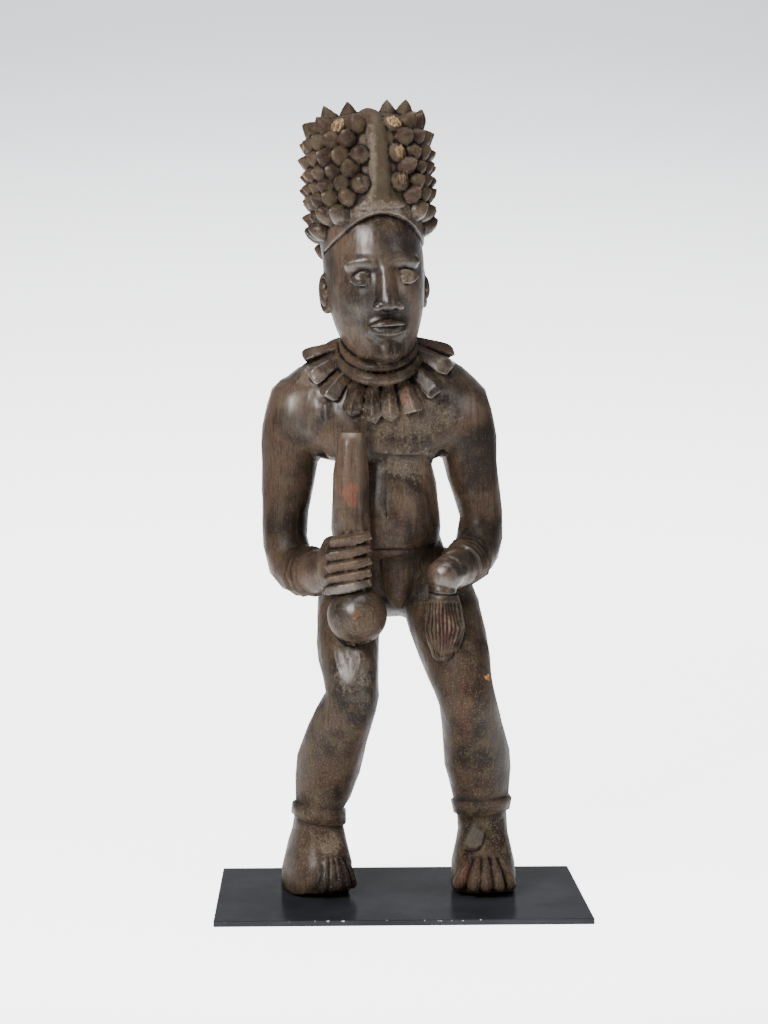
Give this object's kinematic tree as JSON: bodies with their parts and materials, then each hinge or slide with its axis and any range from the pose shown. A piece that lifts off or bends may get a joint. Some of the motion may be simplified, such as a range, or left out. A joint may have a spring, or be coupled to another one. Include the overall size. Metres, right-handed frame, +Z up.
{
  "type": "carved royal figure",
  "caption": "Carved wood figure of a standing king with bent knees, studded cap, neck ring and tooth collar, gripping a long-necked gourd, on a thin rectangular steel base plate.",
  "frame": {"origin": "middle of the base plate's underside", "axes": "+Z up the figure, the figure faces -Y, +X towards the figure's left hand"},
  "size_m": [0.446, 0.28, 0.976],
  "materials": {
    "carved_wood": "dark polished patina over carved wood",
    "base_steel": "satin black"
  },
  "bodies": {
    "root": {"figure": "carved_wood", "base_plate": "base_steel"}
  },
  "joints": []
}
